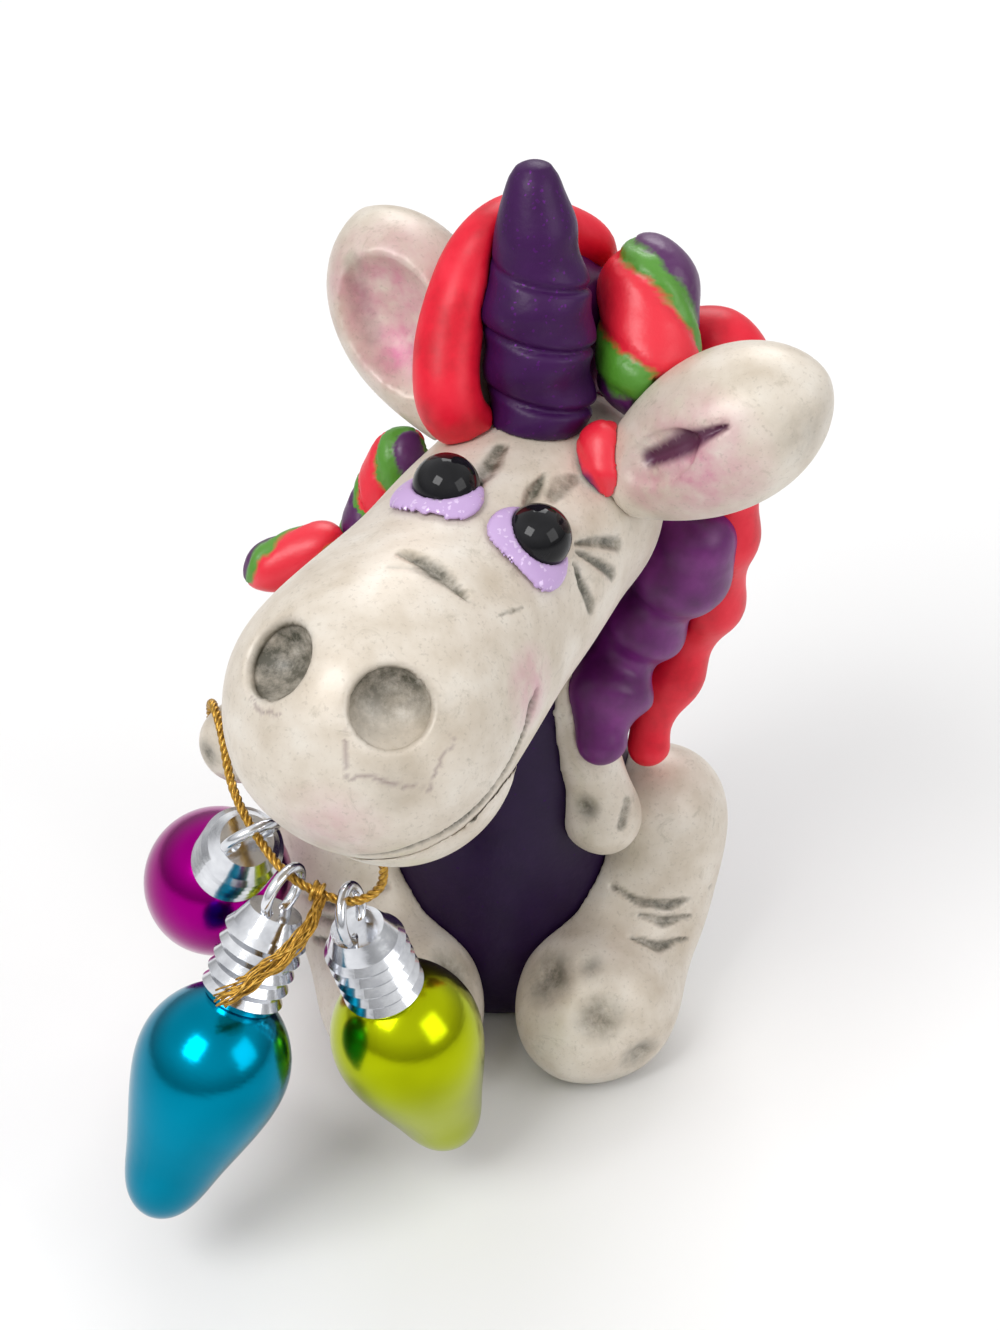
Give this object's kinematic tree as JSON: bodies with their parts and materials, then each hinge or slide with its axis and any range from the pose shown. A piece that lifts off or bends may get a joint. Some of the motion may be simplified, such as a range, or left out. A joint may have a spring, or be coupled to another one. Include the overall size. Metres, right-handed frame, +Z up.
{
  "type": "unicorn figurine",
  "caption": "Seated clay unicorn with a spiral horn and coloured mane, holding a gold cord hung with small metallised light bulbs that swing.",
  "frame": {"origin": "on the resting plane, under the middle of the torso's flat base", "axes": "+Z up; the figure faces -Y; its own left is +X"},
  "size_m": [0.0554, 0.0656, 0.0878],
  "materials": {
    "pearl_clay": "pearl white clay with a grey wash",
    "violet_clay": "dark violet clay",
    "red_clay": "red clay",
    "plum_clay": "plum clay",
    "mixed_clay": "green, red and plum clay twisted together",
    "black_glass": "glossy black bead",
    "lilac_clay": "lilac clay with fine glitter",
    "steel_wire": "plain wire",
    "gold_thread": "metallic gold thread",
    "silver_plating": "bright silver plating on plastic",
    "magenta_plating": "metallised magenta",
    "cyan_plating": "metallised turquoise",
    "lime_plating": "metallised lime"
  },
  "bodies": {
    "figurine": {"back_mane_plum": "plum_clay", "back_mane_red": "red_clay", "cord_knot": "gold_thread", "forelock_curl": "red_clay", "forelock_drop": "red_clay", "forelock_twist": "mixed_clay", "frayed_cord_end": "gold_thread", "gold_cord": "gold_thread", "head": "pearl_clay", "horn": "violet_clay", "horn_pin": "steel_wire", "left_arm": "pearl_clay", "left_ear": "pearl_clay", "left_eye": "black_glass", "left_eyelid": "lilac_clay", "left_leg": "pearl_clay", "left_mane_plum": "plum_clay", "left_mane_red": "red_clay", "lower_jaw": "pearl_clay", "mane_crown": "plum_clay", "neck_wire": "steel_wire", "right_arm": "pearl_clay", "right_ear": "pearl_clay", "right_eye": "black_glass", "right_eyelid": "lilac_clay", "right_leg": "pearl_clay", "right_mane_end": "red_clay", "right_mane_twist": "mixed_clay", "tail": "red_clay", "torso": "violet_clay"},
    "magenta_light": {"magenta_bulb": "magenta_plating", "magenta_screw_cap": "silver_plating", "magenta_hanger_loop": "silver_plating"},
    "cyan_light": {"cyan_bulb": "cyan_plating", "cyan_screw_cap": "silver_plating", "cyan_hanger_loop": "silver_plating"},
    "lime_light": {"lime_bulb": "lime_plating", "lime_screw_cap": "silver_plating", "lime_hanger_loop": "silver_plating"}
  },
  "joints": [
    {"name": "magenta_swing", "type": "hinge", "parent": "figurine", "child": "magenta_light", "pos_m": [-0.0196, -0.0278, 0.0375], "axis": [-0.4417, 0.6689, 0.5979], "range_deg": [-8, 8]},
    {"name": "cyan_swing", "type": "hinge", "parent": "figurine", "child": "cyan_light", "pos_m": [-0.0166, -0.0322, 0.0364], "axis": [-0.8157, 0.5567, 0.1571], "range_deg": [-8, 8]},
    {"name": "lime_swing", "type": "hinge", "parent": "figurine", "child": "lime_light", "pos_m": [-0.012, -0.0336, 0.035], "axis": [-0.9478, 0.2338, -0.2169], "range_deg": [-8, 8]}
  ]
}
